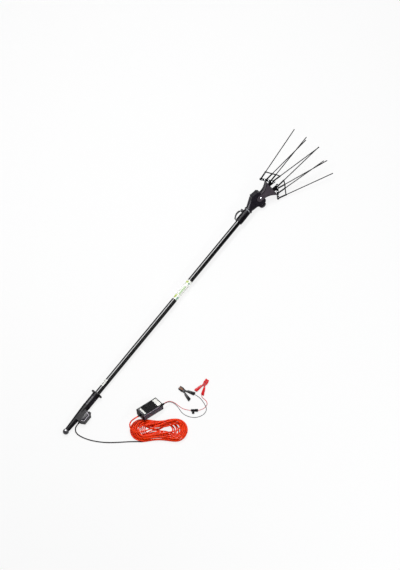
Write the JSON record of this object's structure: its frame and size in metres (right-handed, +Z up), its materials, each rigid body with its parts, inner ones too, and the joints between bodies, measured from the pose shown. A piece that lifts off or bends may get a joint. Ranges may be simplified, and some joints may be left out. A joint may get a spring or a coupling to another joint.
{
  "type": "electric olive harvester",
  "caption": "Electric olive harvester: telescoping pole with swinging tined combs, trigger handle, cable hank, control box and battery clamps.",
  "frame": {"origin": "on the ground, under the middle of the box round the tool without its leads", "axes": "+X along the pole towards the combs, +Z up, +Y to the left"},
  "size_m": [2.2677, 0.6142, 0.328],
  "materials": {
    "gloss_black_tube": "gloss black painted aluminium tube",
    "nylon": "moulded nylon",
    "steel": "zinc plated steel",
    "bright_steel": "bright zinc plated steel",
    "bare_aluminium": "drawn aluminium",
    "grey_plastic": "dark grey moulded plastic",
    "black_plastic": "black moulded plastic",
    "fibre_rod": "pultruded fibre rod",
    "black_cord": "black rubber sheathed lead",
    "black_wire": "black PVC wire",
    "red_wire": "red PVC wire",
    "orange_cable": "orange PVC sheathed cable",
    "board": "circuit board",
    "red_plastic": "red dipped plastic",
    "box_plastic": "black ABS"
  },
  "bodies": {
    "pole": {"outer_tube": "gloss_black_tube", "tube_bush": "nylon", "handle_upper_shell": "black_plastic", "handle_lower_shell": "black_plastic", "handle_screws": "steel", "hand_guard": "black_plastic", "ball_end": "black_plastic", "switch_block": "black_plastic", "lead_gland": "black_plastic", "lock_collar": "black_plastic", "lever_pin": "steel", "handle_lead": "black_cord", "join_plug": "black_plastic", "extension_coil": "orange_cable", "extension_tail": "orange_cable", "control_box_base": "box_plastic", "control_box_lid": "box_plastic", "box_screws": "steel", "circuit_board": "board", "box_glands": "black_plastic", "red_lead_feed": "red_wire", "fuse_holder": "black_plastic", "fuse_cap": "black_plastic", "red_lead_end": "red_wire", "black_lead": "black_wire", "red_clamp_arm": "red_plastic", "red_clamp_pin": "steel", "black_clamp_arm": "black_plastic", "black_clamp_pin": "steel"},
    "trigger": {"trigger_button": "black_plastic"},
    "lever": {"lock_lever": "black_plastic"},
    "head": {"inner_tube": "bare_aluminium", "slide_bush": "nylon", "neck_socket": "black_plastic", "gear_housing": "black_plastic", "housing_cover": "black_plastic", "motor_end_cap": "black_plastic", "motor_can": "steel", "gearbox": "steel", "rod_guide": "black_plastic", "head_front_shell": "grey_plastic", "head_rear_shell": "black_plastic", "head_screws": "bright_steel", "left_pivot_pin": "steel", "right_pivot_pin": "steel"},
    "crank": {"crank": "steel"},
    "crosshead": {"crosshead": "steel"},
    "left_comb": {"left_comb": "black_plastic", "left_tines": "fibre_rod", "left_spacer": "black_plastic"},
    "right_comb": {"right_comb": "black_plastic", "right_tines": "fibre_rod", "right_spacer": "black_plastic"},
    "red_jaw": {"red_clamp_jaw": "red_plastic"},
    "black_jaw": {"black_clamp_jaw": "black_plastic"}
  },
  "joints": [
    {"name": "telescope", "type": "slide", "parent": "pole", "child": "head", "axis": [0.9997, 0, 0.0224], "range_m": [0, 0.75]},
    {"name": "lock_lever_swing", "type": "hinge", "parent": "pole", "child": "lever", "pos_m": [0.5786, 0.13658, 0.05658], "axis": [0.0224, 0, -0.9997], "range_deg": [0, 100]},
    {"name": "trigger_press", "type": "slide", "parent": "pole", "child": "trigger", "axis": [-0.9997, 0, -0.0224], "range_m": [0, 0.005], "stiffness_N_per_m": 500, "springref_m": -0.002},
    {"name": "left_comb_swing", "type": "hinge", "parent": "head", "child": "left_comb", "pos_m": [0.78111, 0.10072, 0.10095], "axis": [-0.39, -0.6144, 0.6859], "range_deg": [-8, 8]},
    {"name": "right_comb_swing", "type": "hinge", "parent": "head", "child": "right_comb", "pos_m": [0.78176, 0.06777, 0.0718], "axis": [-0.39, -0.6144, 0.6859], "range_deg": [-8, 8]},
    {"name": "crosshead_slide", "type": "slide", "parent": "head", "child": "crosshead", "axis": [0.9207, -0.2482, 0.3012], "range_m": [-0.0031, 0.0031]},
    {"name": "crank_turn", "type": "hinge", "parent": "head", "child": "crank", "pos_m": [0.69305, 0.10807, 0.05746], "axis": [-0.0148, 0.749, 0.6625], "range_deg": [-90, 90]},
    {"name": "red_jaw_open", "type": "hinge", "parent": "pole", "child": "red_jaw", "pos_m": [-0.39597, -0.34542, 0.0075], "axis": [0, 0, 1], "range_deg": [0, 20], "stiffness_Nm_per_rad": 1.5, "springref_deg": -20.05},
    {"name": "black_jaw_open", "type": "hinge", "parent": "pole", "child": "black_jaw", "pos_m": [-0.49997, -0.27642, 0.0075], "axis": [0, 0, 1], "range_deg": [0, 20], "stiffness_Nm_per_rad": 1.5, "springref_deg": -20.05}
  ],
  "couplings": [
    {"joint": "right_comb_swing", "follows": "left_comb_swing", "ratio": -1},
    {"joint": "crosshead_slide", "follows": "left_comb_swing", "m_per_rad": 0.022},
    {"joint": "crank_turn", "follows": "left_comb_swing", "ratio": 11.25}
  ]
}
